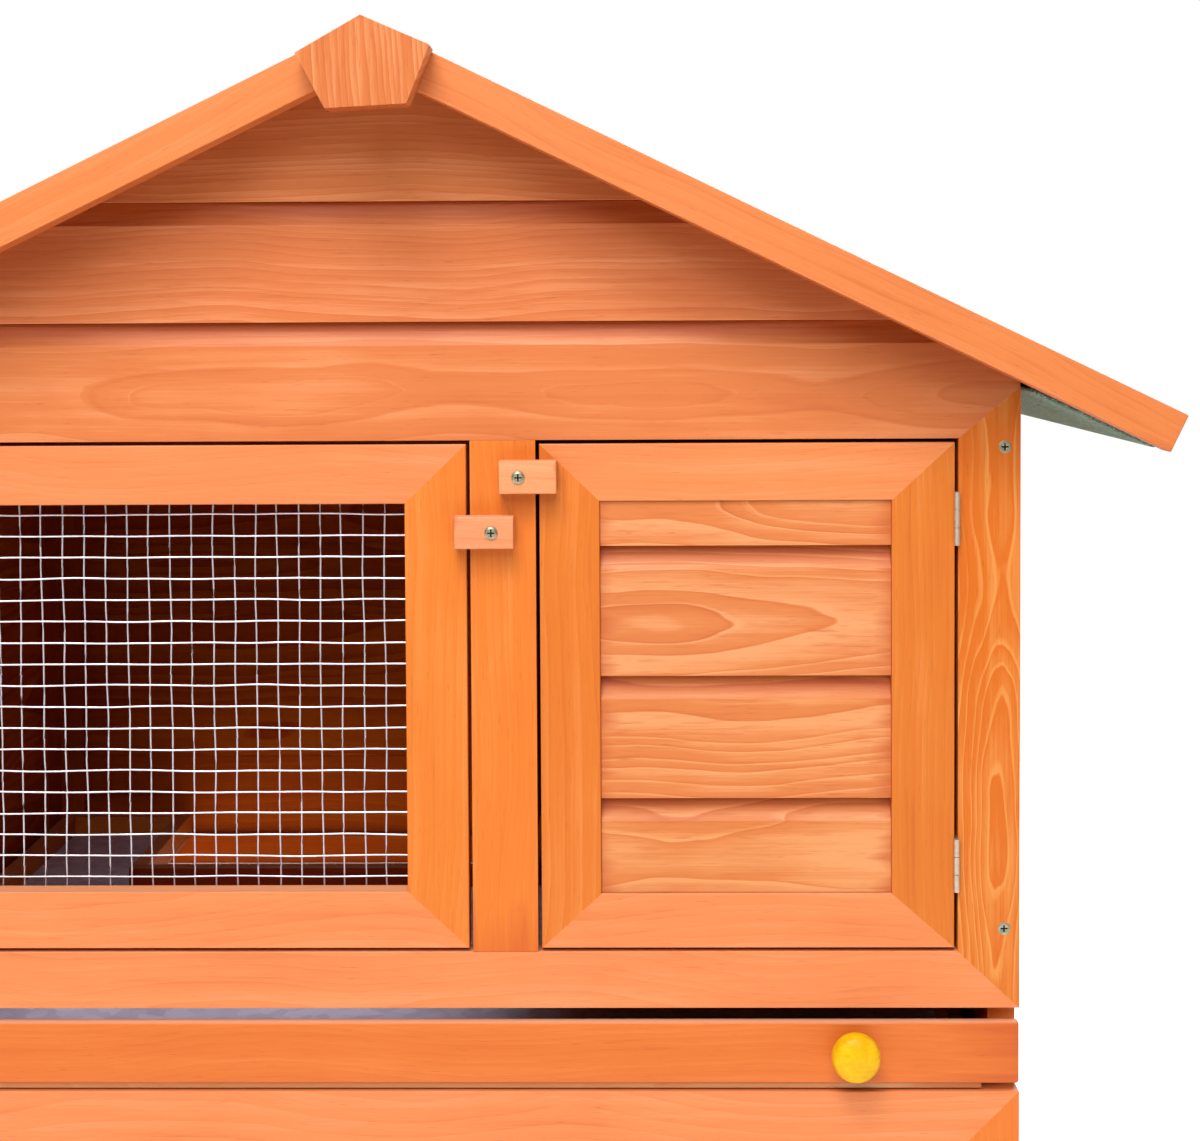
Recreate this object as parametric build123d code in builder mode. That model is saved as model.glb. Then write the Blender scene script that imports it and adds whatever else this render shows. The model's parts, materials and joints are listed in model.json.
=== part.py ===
from build123d import *
import os
from math import atan, copysign, cos, radians, sin, tan

# A two-storey wooden rabbit hutch with a gable roof, in millimetres.
# +Z is up, the doors face -Y, and the origin is on the ground under the middle of the hutch.
# Outlines of upright boards are given as seen from the front, in (x, z).

# ---- driving dimensions ----------------------------------------------------------------------
half_width = 371.5  # outer faces of the side panels
half_depth = 307.5  # front and back faces of the body
frame_t = 15.0  # thickness of the front, back and door frames
side_t = 16.0  # thickness of the side panels
member_w = 35.9  # width of the frame members

lower_top = 404.4  # top of the lower storey's front frame
tray_floor = 405.4  # underside of the tray
upper_bottom = 453.9  # underside of the upper storey's front frame
opening_top = 787.5  # top of the upper door openings
gable_joints = (856.4, 926.3)  # joints between the gable boards
mitre_rise = 30.0  # height of the mitre between a post and the lowest gable board

centre_post = (52.4, 90.5)  # left and right edge of the centre post, and of the mullion under it
door_gap = 2.2  # clearance round the doors
hinge_gap = 2.0  # clearance on the hinge side
board_gap = 0.06  # between neighbouring boards

apex = 1023.5  # top of the bargeboards where they meet
eave_x = 455.0  # tip of the bargeboards
eave_z = 802.6
barge_h = 22.8  # across the slope
barge_t = 18.0
overhang = 50.0  # of the roof past the front and back faces
cap_t = 20.0  # thickness of the ridge caps
felt_t = 2.0
deck_t = 12.0
felt_set = 2.0  # the felt lies this far under the bargeboards' top edge

cove_depth = 4.8  # hollow along the top of each shiplap board
cove_height = 13.5

wire = 1.2  # thickness of the wire mesh
fine_pitch = 12.7  # mesh of the upper door
run_pitch = 25.4  # mesh round the lower storey
mesh_lap = 14.0  # the mesh reaches this far behind its frame
day_mesh_corner = (38.6, 769.2)  # top right crossing of the upper door's mesh

hinge_length = 31.0
pin_r = 0.8
pin_clearance = 0.05
knuckle_r = 1.7
leaf_t = 0.8
leaf_w = 14.4
knuckle_gap = 0.3
leaf_gap = 0.2  # from the pin's axis to a leaf
knuckle_lift = 1.8  # the pin's axis stands this far in front of the frame

screw_head_r = 3.75
screw_shank_r = 1.75
screw_length = 35.0
screw_inset = 9.0  # from the body's outer edge
cross_length = 4.2  # of the cross recess in a screw's head
cross_width = 0.9
cross_depth = 1.0

button_t = 11.7
button_lift = 0.3  # between a turn button and the frame behind it
button_bore = 1.85

base_t = 3.6  # the tray's plywood base
tray_front_t = 8.0
tray_half = 350.0
tray_clear = 5.0  # behind the tray
tray_wall_t = 10.0
tray_wall_h = 16.0
hatch = (-240.0, 60.0)  # left and right edge of the ramp hatch
hatch_front = 120.5
curb_t = 12.0

# ---- derived values ---------------------------------------------------------------------------
front = -half_depth
back = half_depth
inner_front = front + frame_t
inner_back = back - frame_t
inner_side = half_width - side_t
slope = (apex - eave_z) / eave_x
pitch_angle = atan(slope)
roof_end = half_depth + overhang
deck_end = roof_end - barge_t
deck_top = felt_set + felt_t
deck_bottom = deck_top + deck_t
post_inner = half_width - member_w
rail_top = upper_bottom + 33.5
tray_top = tray_floor + base_t
tray_rear_face = front + tray_front_t  # of its front board
tray_back = inner_back - tray_clear
hinge_x = post_inner - leaf_gap - leaf_t
hinge_y = front - knuckle_lift
door_edge = post_inner - hinge_gap

os.makedirs("parts", exist_ok=True)


# ---- helpers ----------------------------------------------------------------------------------
def facing(y):
    """The upright plane at this y, seen from the front, with its normal towards the viewer."""
    return Plane.XZ.offset(-y)


def rect(x0, x1, z0, z1):
    """Corners of an upright rectangle."""
    return [(x0, z0), (x1, z0), (x1, z1), (x0, z1)]


def flipped(points):
    """The same outline on the other side of the centre line."""
    return [(-x, z) for x, z in reversed(points)]


def slabs(plane, thickness, *outlines):
    """A sub-part of flat boards: each outline drawn on the plane becomes one solid."""
    with BuildPart() as group:
        for corners in outlines:
            with BuildSketch(plane):
                Polygon(*corners, align=None)
            extrude(amount=thickness)
    return group


def upright(y0, y1, *outlines):
    """Boards that stand across the hutch and fill y0 to y1."""
    return slabs(facing(y1), y1 - y0, *outlines)


def less(piece, *cutters):
    """The same sub-part with the cutters taken out of it."""
    with BuildPart() as cut:
        add(piece.part)
        for cutter in cutters:
            add(cutter.part, mode=Mode.SUBTRACT)
    return cut


def save(piece, name):
    """Labels a sub-part and writes it."""
    piece.part.label = name
    export_step(piece.part, f"parts/{name}.step")


def shiplap_section(face, rear, low, high, coved=True):
    """Section of a shiplap board: a cove runs along the top of its outer face."""
    lip = copysign(cove_depth, rear - face)
    with BuildSketch() as section:
        with BuildLine():
            if coved:
                start = (face, high - cove_height)
                bend = (face + lip * 0.6, high - cove_height * 0.6)
                end = (face + lip, high)
                ThreePointArc(start, bend, end)
                Polyline(end, (rear, high), (rear, low), (face, low), start)
            else:
                Polyline((face, low), (rear, low), (rear, high), (face, high), close=True)
        make_face()
    return section.sketch


def shiplap(plane, length, face, rear, edges):
    """A stack of shiplap boards between the edges, drawn in section on the plane. The last has no cove."""
    with BuildPart() as group:
        for low, high in zip(edges, edges[1:]):
            with BuildSketch(plane):
                add(shiplap_section(face, rear, low, high - board_gap, high < edges[-1]))
            extrude(amount=length)
    return group


def even(low, high, count):
    """Edges of that many equal boards."""
    return [low + (high - low) * i / count for i in range(count + 1)]


def mesh(plane, box, pitch):
    """A flat grid of square wires that fills the box on the plane, out to its border wires."""
    x0, x1, z0, z1 = box
    columns = int((x1 - x0) / pitch + 0.01)
    rows = int((z1 - z0) / pitch + 0.01)
    centre = ((x0 + x1) / 2, (z0 + z1) / 2)
    with BuildPart() as grid:
        with BuildSketch(plane):
            with Locations(centre):
                Rectangle(columns * pitch + wire, rows * pitch + wire)
                with GridLocations(pitch, pitch, columns, rows):
                    Rectangle(pitch - wire, pitch - wire, mode=Mode.SUBTRACT)
        extrude(amount=wire)
    return grid


# ---- screws -----------------------------------------------------------------------------------
def screw(head, length, crossed=True):
    """A screw along +Y with its head outwards: head is its (radius, y) profile, outermost point first."""
    head_y = head[0][1]
    with BuildPart() as one:
        with BuildSketch(Plane.XY):
            shank = [(screw_shank_r, head[-1][1]), (screw_shank_r, length), (0, length)]
            Polygon((0, head_y), *head, *shank, align=None)
        revolve(axis=Axis.Y)
        if crossed:
            with Locations((0, head_y, 0)):
                Box(cross_length, cross_depth * 2, cross_width, mode=Mode.SUBTRACT)
                Box(cross_width, cross_depth * 2, cross_length, mode=Mode.SUBTRACT)
    return one.part


def screws(kind, *spots):
    """Several of one screw, with the head's origin at each (x, y, z)."""
    with BuildPart() as group:
        for spot in spots:
            with Locations(spot):
                add(kind)
    return group


sunk_depth = (screw_head_r - screw_shank_r) / tan(radians(41))
sunk_head = [(screw_head_r, 0), (screw_head_r, 0.4), (screw_shank_r, 0.4 + sunk_depth)]
screw_x = half_width - screw_inset
screw_heights = (500.8, 782.5, 30.0, 350.0)
screw_spots = [(x, front, z) for x in (-screw_x, screw_x) for z in screw_heights]
screw_holes = screws(screw(sunk_head, screw_length, False), *screw_spots)
save(screws(screw(sunk_head, screw_length), *screw_spots), "frame_screws")

# Pivots of the three turn buttons, in (x, z), on the centre post and on the mullion.
nest_pivot = (81.1, 766.7)
day_pivot = (65.3, 734.8)
run_pivot = (81.1, 318.0)
button_face = front - button_lift - button_t
pan_head = [(2.6, -1.5), (screw_head_r, -0.7), (screw_head_r, -0.1)]
pan_screw = screw(pan_head, 27.0)
button_screws = screws(pan_screw, *[(x, button_face, z) for x, z in (nest_pivot, day_pivot, run_pivot)])
save(button_screws, "turn_button_screws")

# ---- upper front frame ------------------------------------------------------------------------
right_post = [
    (half_width, upper_bottom),
    (half_width, opening_top + mitre_rise),
    (post_inner, opening_top),
    (post_inner, rail_top),
]
front_posts = upright(front, inner_front, right_post, flipped(right_post))
save(less(front_posts, screw_holes), "front_posts")
centre_outline = rect(*centre_post, rail_top, opening_top)
save(less(upright(front, inner_front, centre_outline), button_screws), "front_centre_post")
bottom_rail = [
    (-half_width, upper_bottom),
    (half_width, upper_bottom),
    (post_inner, rail_top),
    (-post_inner, rail_top),
]
save(upright(front, inner_front, bottom_rail), "front_bottom_rail")


# ---- gables -----------------------------------------------------------------------------------
def roof_z(x, depth):
    """Height of the layer that lies this deep under the bargeboards' top edge."""
    return apex - slope * abs(x) - depth / cos(pitch_angle)


gable_half = [
    (0, opening_top),
    (post_inner, opening_top),
    (half_width, opening_top + mitre_rise),
    (half_width, roof_z(half_width, deck_bottom)),
    (0, roof_z(0, deck_bottom)),
]
gable_outline = gable_half[1:] + flipped(gable_half[1:-1])


def gable_board(face, rear, low, high, coved):
    """One board of a gable, cut to the roof slope and to the post mitres."""
    with BuildPart() as board:
        with BuildSketch(Plane.YZ.offset(-half_width)):
            add(shiplap_section(face, rear, low, high, coved))
        extrude(amount=2 * half_width)
        with BuildSketch(facing(max(face, rear))):
            Polygon(*gable_outline, align=None)
        extrude(amount=frame_t, mode=Mode.INTERSECT)
    return board


first_joint, second_joint = gable_joints
gable_levels = {
    "low": (opening_top, first_joint - board_gap, True),
    "middle": (first_joint, second_joint - board_gap, True),
    "top": (second_joint, apex, False),
}
for level, (low, high, coved) in gable_levels.items():
    save(gable_board(front, inner_front, low, high, coved), f"gable_board_{level}")

# ---- lower front frame ------------------------------------------------------------------------
lower_post = [
    (half_width, 0),
    (half_width, lower_top),
    (post_inner, lower_top - member_w),
    (post_inner, member_w),
]
lower_rail = [(-half_width, 0), (half_width, 0), (post_inner, member_w), (-post_inner, member_w)]
lower_head = [(x, lower_top - z) for x, z in reversed(lower_rail)]
lower_posts = upright(front, inner_front, lower_post, flipped(lower_post))
save(less(lower_posts, screw_holes), "lower_front_posts")
save(upright(front, inner_front, lower_rail, lower_head), "lower_front_rails")
mullion = rect(*centre_post, member_w, lower_top - member_w)
save(less(upright(front, inner_front, mullion), button_screws), "lower_front_mullion")
run_window = (-post_inner, centre_post[0], member_w, lower_top - member_w)


def lapped(box):
    """The box grown by the mesh's lap on every side."""
    x0, x1, z0, z1 = box
    return (x0 - mesh_lap, x1 + mesh_lap, z0 - mesh_lap, z1 + mesh_lap)


front_mesh_plane = facing(inner_front + wire)
save(mesh(front_mesh_plane, lapped(run_window), run_pitch), "lower_front_mesh")

# ---- side panels ------------------------------------------------------------------------------
stile_w = 40.0
side_bottom = 45.0
side_middle = (372.0, 408.0)
side_top = 790.0
board_face = half_width - 3.0
board_rear = board_face - 10.0
side_head = [
    (inner_side, side_top),
    (half_width, side_top),
    (half_width, roof_z(half_width, deck_bottom)),
    (inner_side, roof_z(inner_side, deck_bottom)),
]
side_stile = [(inner_side, 0), (half_width, 0), *side_head[2:]]
side_rail = rect(inner_side, half_width, 0, side_bottom)
side_waist = rect(inner_side, half_width, *side_middle)
stile_end = inner_back - stile_w


def side_frame(turn):
    """The two stiles and three rails of a side panel; turn puts the outlines on their side."""
    with BuildPart() as frame:
        for y0, y1 in ((inner_front, -stile_end), (stile_end, inner_back)):
            with BuildSketch(facing(y1)):
                Polygon(*turn(side_stile), align=None)
            extrude(amount=y1 - y0)
        for corners in (side_rail, side_waist, side_head):
            with BuildSketch(facing(stile_end - 0.1)):
                Polygon(*turn(corners), align=None)
            extrude(amount=2 * stile_end - 0.2)
    return frame


for side, turn, sign in (("left", flipped, -1), ("right", list, 1)):
    save(less(side_frame(turn), screw_holes), f"{side}_side_frame")
    levels = even(side_middle[1] + board_gap, side_top, 5)
    boards = shiplap(facing(stile_end), 2 * stile_end, sign * board_face, sign * board_rear, levels)
    save(boards, f"{side}_side_boards")
    window = (-stile_end, stile_end, side_bottom, side_middle[0])
    mesh_x = sign * inner_side - (wire if sign > 0 else 0)
    save(mesh(Plane.YZ.offset(mesh_x), lapped(window), run_pitch), f"{side}_side_mesh")

# ---- back panel -------------------------------------------------------------------------------
back_rail_z = (441.0, 475.0)  # bottom rail of the upper back
back_post = [
    (half_width, 0),
    (half_width, opening_top + mitre_rise),
    (post_inner, opening_top),
    (post_inner, 0),
]
between_posts = post_inner - 0.1
back_foot = rect(-between_posts, between_posts, 0, member_w)
back_head = rect(-between_posts, between_posts, lower_top - member_w, lower_top)
back_rail = rect(-between_posts, between_posts, *back_rail_z)
back_strip = rect(-between_posts, between_posts, lower_top + 0.1, back_rail_z[0] - 0.1)
back_frame = upright(inner_back, back, back_post, flipped(back_post), back_foot, back_head, back_rail)
with BuildPart() as whole_back:
    add(back_frame.part)
    add(upright(back - 7.0, back, back_strip).part)
save(whole_back, "back_frame")

back_levels = even(back_rail_z[1] + board_gap, opening_top, 5)
with BuildPart() as back_boards:
    for low, high in zip(back_levels, back_levels[1:]):
        with BuildSketch(Plane.YZ.offset(-between_posts)):
            add(shiplap_section(back, inner_back, low, high - board_gap))
        extrude(amount=2 * between_posts)
    for low, high, coved in gable_levels.values():
        add(gable_board(back, inner_back, low, high, coved).part)
save(back_boards, "back_boards")
back_window = (-post_inner, post_inner, member_w, lower_top - member_w)
save(mesh(facing(inner_back), lapped(back_window), run_pitch), "back_mesh")

# ---- inside: nest partition, tray bearers and ramp -------------------------------------------
partition_x = (64.0, 72.0)
partition_foot = 456.0
doorway = (-60.0, 80.0)  # front and back edge of the doorway, along y
doorway_top = 640.0
partition_top = roof_z(partition_x[1], deck_bottom) - 4.0
partition_end = inner_back - 0.2
nest_partition = slabs(
    Plane.YZ.offset(partition_x[0]),
    partition_x[1] - partition_x[0],
    rect(-partition_end, doorway[0] - board_gap, partition_foot, partition_top),
    rect(doorway[1] + board_gap, partition_end, partition_foot, partition_top),
    rect(*doorway, doorway_top, partition_top),
)
save(nest_partition, "nest_partition")

bearer_top = tray_floor - 0.3
runner_inner = inner_side - 16.0
runner_y = inner_back - 15.0
bearer_y = (hatch_front - 19.0, hatch_front + 1.0)
with BuildPart() as tray_bearers:
    for x0, x1 in ((-inner_side, -runner_inner), (runner_inner, inner_side)):
        with BuildSketch(facing(runner_y)):
            Polygon(*rect(x0, x1, bearer_top - 20.0, bearer_top), align=None)
        extrude(amount=2 * runner_y)
    with BuildSketch(facing(bearer_y[1])):
        Polygon(*rect(-runner_inner + 0.1, runner_inner - 0.1, bearer_top - 29.0, bearer_top), align=None)
    extrude(amount=bearer_y[1] - bearer_y[0])
save(tray_bearers, "tray_bearers")

ramp_head = (52.0, 404.0)
ramp_foot = -335.0
ramp_t = 12.0
ramp_slope = 1.02  # fall per unit of run
ramp_y = (bearer_y[1], tray_back - 2.0)
ramp_angle = atan(ramp_slope)
ramp_plumb = ramp_t / cos(ramp_angle)
ramp_run = (ramp_head[1] - ramp_plumb) / ramp_slope
ramp_side = [
    (ramp_head[0], ramp_head[1] - ramp_plumb),
    ramp_head,
    (ramp_foot, ramp_head[1] - ramp_slope * (ramp_head[0] - ramp_foot)),
    (ramp_foot, 0),
    (ramp_head[0] - ramp_run, 0),
]
save(upright(*ramp_y, ramp_side), "ramp_board")

cleat_count = 10
cleat_step = 50.0
cleat = (8.0, 150.0, 6.0)  # along the ramp, across it, and high
ramp_top = Plane(
    origin=(ramp_head[0], sum(ramp_y) / 2, ramp_head[1]),
    x_dir=(-cos(ramp_angle), 0, -sin(ramp_angle)),
    z_dir=(-sin(ramp_angle), 0, cos(ramp_angle)),
)
with BuildPart(ramp_top) as ramp_cleats:
    with Locations(*[(cleat_step * (i + 0.6), 0) for i in range(cleat_count)]):
        Box(*cleat, align=(Align.CENTER, Align.CENTER, Align.MIN))
save(ramp_cleats, "ramp_cleats")


# ---- roof -------------------------------------------------------------------------------------
def slope_point(x, depth):
    """The point straight under (x, top edge), across the right-hand slope."""
    return (x - depth * sin(pitch_angle), roof_z(x, 0) - depth * cos(pitch_angle))


def layer(x_end, top, bottom, x_ridge=0.0):
    """Outline of a right-hand roof layer, from a plumb cut at the ridge to a square cut at the eave."""
    low_end = slope_point(x_end, bottom)
    high_end = slope_point(x_end, top)
    return [(x_ridge, roof_z(x_ridge, bottom)), low_end, high_end, (x_ridge, roof_z(x_ridge, top))]


deck_x = 450.0
felt_hem = 21.0  # the felt hangs this far under the top edge at the eave
deck = layer(deck_x, deck_top, deck_bottom)
felt_top = [
    (0, roof_z(0, deck_top)),
    slope_point(deck_x, deck_top),
    slope_point(deck_x, felt_hem),
    slope_point(deck_x + felt_t, felt_hem),
    slope_point(deck_x + felt_t, felt_set),
    (0, roof_z(0, felt_set)),
]
hem_x, hem_z = slope_point(deck_x + felt_t, felt_hem + 0.3)
turned_in_z = 808.1  # underside of the turned-in felt where it meets the wall
felt_under = [
    (half_width + 0.5, turned_in_z),
    (hem_x, hem_z - felt_t),
    (hem_x, hem_z),
    (half_width + 0.5, turned_in_z + felt_t),
]
barge = layer(eave_x, 0, barge_h, board_gap)
for side, turn in (("left", flipped), ("right", list)):
    save(upright(-deck_end, deck_end, turn(deck)), f"roof_deck_{side}")
    save(upright(-deck_end, deck_end, turn(felt_top), turn(felt_under)), f"roof_felt_{side}")
save(upright(-roof_end, -deck_end, barge, flipped(barge)), "bargeboards_front")
save(upright(deck_end, roof_end, barge, flipped(barge)), "bargeboards_back")

beam_half = 12.0
beam_bottom = 955.0
beam_end = inner_back - 0.2
ridge_beam = [
    (-beam_half, beam_bottom),
    (beam_half, beam_bottom),
    (beam_half, roof_z(beam_half, deck_bottom)),
    (0, roof_z(0, deck_bottom)),
    (-beam_half, roof_z(beam_half, deck_bottom)),
]
save(upright(-beam_end, beam_end, ridge_beam), "ridge_beam")

cap_half = 37.0
cap_foot = 22.4
cap = [
    (cap_foot, apex - 49.6),
    (cap_half, apex - 18.5),
    (0, apex),
    (-cap_half, apex - 18.5),
    (-cap_foot, apex - 49.6),
]
with BuildPart() as ridge_caps:
    for rear in (-roof_end, roof_end + cap_t):
        with BuildSketch(facing(rear)):
            Polygon(*cap, align=None)
        extrude(amount=cap_t)
save(ridge_caps, "ridge_caps")


# ---- doors ------------------------------------------------------------------------------------
def mitred_frame(box, left_w, right_w, low_h, high_h):
    """Outlines of a mitred frame: (its two stiles, its two rails)."""
    x0, x1, z0, z1 = box
    inner = [(x0 + left_w, z0 + low_h), (x1 - right_w, z0 + low_h)]
    above = [(x1 - right_w, z1 - high_h), (x0 + left_w, z1 - high_h)]
    stiles = [[(x0, z0), inner[0], above[1], (x0, z1)], [(x1, z0), (x1, z1), above[0], inner[1]]]
    rails = [[(x0, z0), (x1, z0), inner[1], inner[0]], [(x0, z1), above[1], above[0], (x1, z1)]]
    return stiles, rails


def hinge_leaf(side, bore_r, bottoms, outer):
    """Leaves on one side (+1 or -1) of the right-hand pin; the outer leaf has the two end knuckles."""
    near = leaf_gap
    far = leaf_gap + leaf_t
    start = knuckle_lift + 0.1
    end = start + leaf_w
    plate = [(side * near, start), (side * far, start), (side * far, end), (side * near, end)]
    web = [(side * near, 0), (side * far, 0), (side * far, start + 0.1), (side * near, start + 0.1)]
    third = (hinge_length - 2 * knuckle_gap) / 3
    feet = [0, hinge_length - third] if outer else [third + knuckle_gap]
    with BuildPart() as leaves:
        for bottom in bottoms:
            with BuildSketch(Plane((hinge_x, hinge_y, bottom))):
                Polygon(*plate, align=None)
            extrude(amount=hinge_length)
            for foot in feet:
                with BuildSketch(Plane((hinge_x, hinge_y, bottom + foot))):
                    Circle(knuckle_r)
                    Polygon(*web, align=None)
                    Circle(bore_r, mode=Mode.SUBTRACT)
                extrude(amount=third)
    return leaves


def save_hinges(door, bottoms, mirrored):
    """Writes a door's hinges: the leaves on the post, which grip the pins, and the leaves on the door."""
    post_leaves = hinge_leaf(1, pin_r, bottoms, True)
    door_leaves = hinge_leaf(-1, pin_r + pin_clearance, bottoms, False)
    for piece, name in ((post_leaves, "post_leaves"), (door_leaves, "door_leaves")):
        if mirrored:
            with BuildPart() as turned:
                add(mirror(piece.part, about=Plane.YZ, mode=Mode.PRIVATE))
            piece = turned
        save(piece, f"{door}_hinge_{name}")


upper_hinges = (522.9, 725.5)
lower_hinges = (72.0, 305.0)
door_low = rail_top + door_gap
door_high = opening_top - door_gap

day_stile_w = 36.0
day_rails_h = (33.4, 34.6)  # bottom and top rail
day_box = (-door_edge, centre_post[0] - door_gap, door_low, door_high)
stiles, rails = mitred_frame(day_box, day_stile_w, day_stile_w, *day_rails_h)
save(upright(front, inner_front, *stiles), "mesh_door_stiles")
save(upright(front, inner_front, *rails), "mesh_door_rails")
mesh_columns = 28
mesh_rows = 21
mesh_right, mesh_top = day_mesh_corner
day_mesh = (
    mesh_right - mesh_columns * fine_pitch,
    mesh_right,
    mesh_top - mesh_rows * fine_pitch,
    mesh_top,
)
save(mesh(front_mesh_plane, day_mesh, fine_pitch), "mesh_door_mesh")
save_hinges("mesh_door", upper_hinges, True)

door_stiles_w = (35.0, 36.5)  # left and right stile of the solid door and of the run door
door_rails_h = (32.0, 33.5)
nest_box = (centre_post[1] + door_gap, door_edge, door_low, door_high)
stiles, rails = mitred_frame(nest_box, *door_stiles_w, *door_rails_h)
save(upright(front, inner_front, *stiles), "solid_door_stiles")
save(upright(front, inner_front, *rails), "solid_door_rails")
slat_joints = (577.4, 649.3, 725.5)
slat_set = 2.0  # the slats lie this far behind the door's face
slat_t = 8.0
slat_edges = [door_low + door_rails_h[0], *slat_joints, door_high - door_rails_h[1] + board_gap]
slat_x = nest_box[0] + door_stiles_w[0]
slat_length = nest_box[1] - door_stiles_w[1] - slat_x
slat_face = front + slat_set
slats = shiplap(Plane.YZ.offset(slat_x), slat_length, slat_face, slat_face + slat_t, slat_edges)
save(slats, "solid_door_slats")
save_hinges("solid_door", upper_hinges, False)

run_low = member_w + door_gap
run_high = lower_top - member_w - door_gap
run_box = (centre_post[1] + door_gap, door_edge, run_low, run_high)
stiles, rails = mitred_frame(run_box, *door_stiles_w, *door_rails_h)
save(upright(front, inner_front, *stiles), "run_door_stiles")
save(upright(front, inner_front, *rails), "run_door_rails")
run_opening = (
    run_box[0] + door_stiles_w[0],
    run_box[1] - door_stiles_w[1],
    run_low + door_rails_h[0],
    run_high - door_rails_h[1],
)
save(mesh(front_mesh_plane, lapped(run_opening), run_pitch), "run_door_mesh")
save_hinges("run_door", lower_hinges, False)

with BuildPart() as hinge_pins:
    pin_feet = [(hinge_x, z) for z in (*upper_hinges, *lower_hinges)]
    pin_feet += [(-hinge_x, z) for z in upper_hinges]
    for x, z in pin_feet:
        with BuildSketch(Plane((x, hinge_y, z))):
            Circle(pin_r)
        extrude(amount=hinge_length)
save(hinge_pins, "hinge_pins")


# ---- turn buttons -----------------------------------------------------------------------------
def turn_button(pivot, left, right, height):
    """A wooden block that turns on a screw, from left to right of its pivot, with eased front edges."""
    x, z = pivot
    with BuildPart() as block:
        with BuildSketch(facing(front - button_lift)):
            Polygon(*rect(x - left, x + right, z - height / 2, z + height / 2), align=None)
        extrude(amount=button_t)
        fillet(block.faces().sort_by(Axis.Y)[0].edges(), 1.0)
        with BuildSketch(facing(front)):
            with Locations(pivot):
                Circle(button_bore)
        extrude(amount=2 * button_t, mode=Mode.SUBTRACT)
    return block


save(turn_button(nest_pivot, 11.2, 22.1, 19.1), "turn_button_nest")
save(turn_button(day_pivot, 21.5, 12.9, 18.7), "turn_button_day")
save(turn_button(run_pivot, 11.2, 22.1, 19.1), "turn_button_run")

# ---- tray -------------------------------------------------------------------------------------
tray_front_top = 445.5
tray_board = rect(-half_width, half_width, tray_top, tray_front_top)
save(upright(front, tray_rear_face, tray_board), "tray_front")

base_front = front + 3.0
hatch_left, hatch_right = hatch
base_outline = [
    (-tray_half, base_front),
    (tray_half, base_front),
    (tray_half, tray_back),
    (hatch_right, tray_back),
    (hatch_right, hatch_front),
    (hatch_left, hatch_front),
    (hatch_left, tray_back),
    (-tray_half, tray_back),
]
save(slabs(Plane.XY.offset(tray_floor), base_t, base_outline), "tray_base")

wall_in = tray_half - tray_wall_t
curb_left = hatch_left - curb_t
curb_right = hatch_right + curb_t
curb_front = hatch_front - curb_t
wall_back = tray_back - curb_t
wall_plan = [
    rect(-tray_half, -wall_in, tray_rear_face, tray_back),
    rect(wall_in, tray_half, tray_rear_face, tray_back),
    rect(-wall_in + 0.1, curb_left - 0.1, wall_back, tray_back),
    rect(curb_right + 0.1, wall_in - 0.1, wall_back, tray_back),
    rect(curb_left, hatch_left, hatch_front + 0.1, tray_back),
    rect(hatch_right, curb_right, hatch_front + 0.1, tray_back),
]
save(slabs(Plane.XY.offset(tray_top), tray_wall_h, *wall_plan), "tray_walls")

curb = rect(curb_left, curb_right, tray_top, tray_top + tray_wall_h)
save(upright(curb_front, hatch_front, curb), "tray_curb")

liner_edge = wall_in - 0.3
liner_t = 0.6
liner_outline = [
    (-liner_edge, tray_rear_face + 0.3),
    (liner_edge, tray_rear_face + 0.3),
    (liner_edge, wall_back - 0.3),
    (curb_right + 0.3, wall_back - 0.3),
    (curb_right + 0.3, curb_front - 0.3),
    (curb_left - 0.3, curb_front - 0.3),
    (curb_left - 0.3, wall_back - 0.3),
    (-liner_edge, wall_back - 0.3),
]
save(slabs(Plane.XY.offset(tray_top), liner_t, liner_outline), "tray_liner")

knob_x = 275.0
knob_z = 428.5
with BuildPart() as tray_knobs:
    for x in (-knob_x, knob_x):
        with BuildSketch(Plane((x, front, knob_z))):
            with BuildLine():
                Polyline((0, -20), (0, 0), (6.5, 0), (5.5, -4.0), (11.5, -6.0))
                Spline((11.5, -6.0), (14.0, -10.5), (9.5, -17.5), (0, -20), tangents=((1, 0), (-1, 0)))
            make_face()
        revolve(axis=Axis((x, front, knob_z), (0, 1, 0)))
save(tray_knobs, "tray_knobs")
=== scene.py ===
"""Looks of the rabbit hutch: stained pine, welded wire, roofing felt, zinc hardware and yellow knobs."""

import json
import math
import random

import bmesh
import bpy
from mathutils import Matrix, Vector, noise

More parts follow.
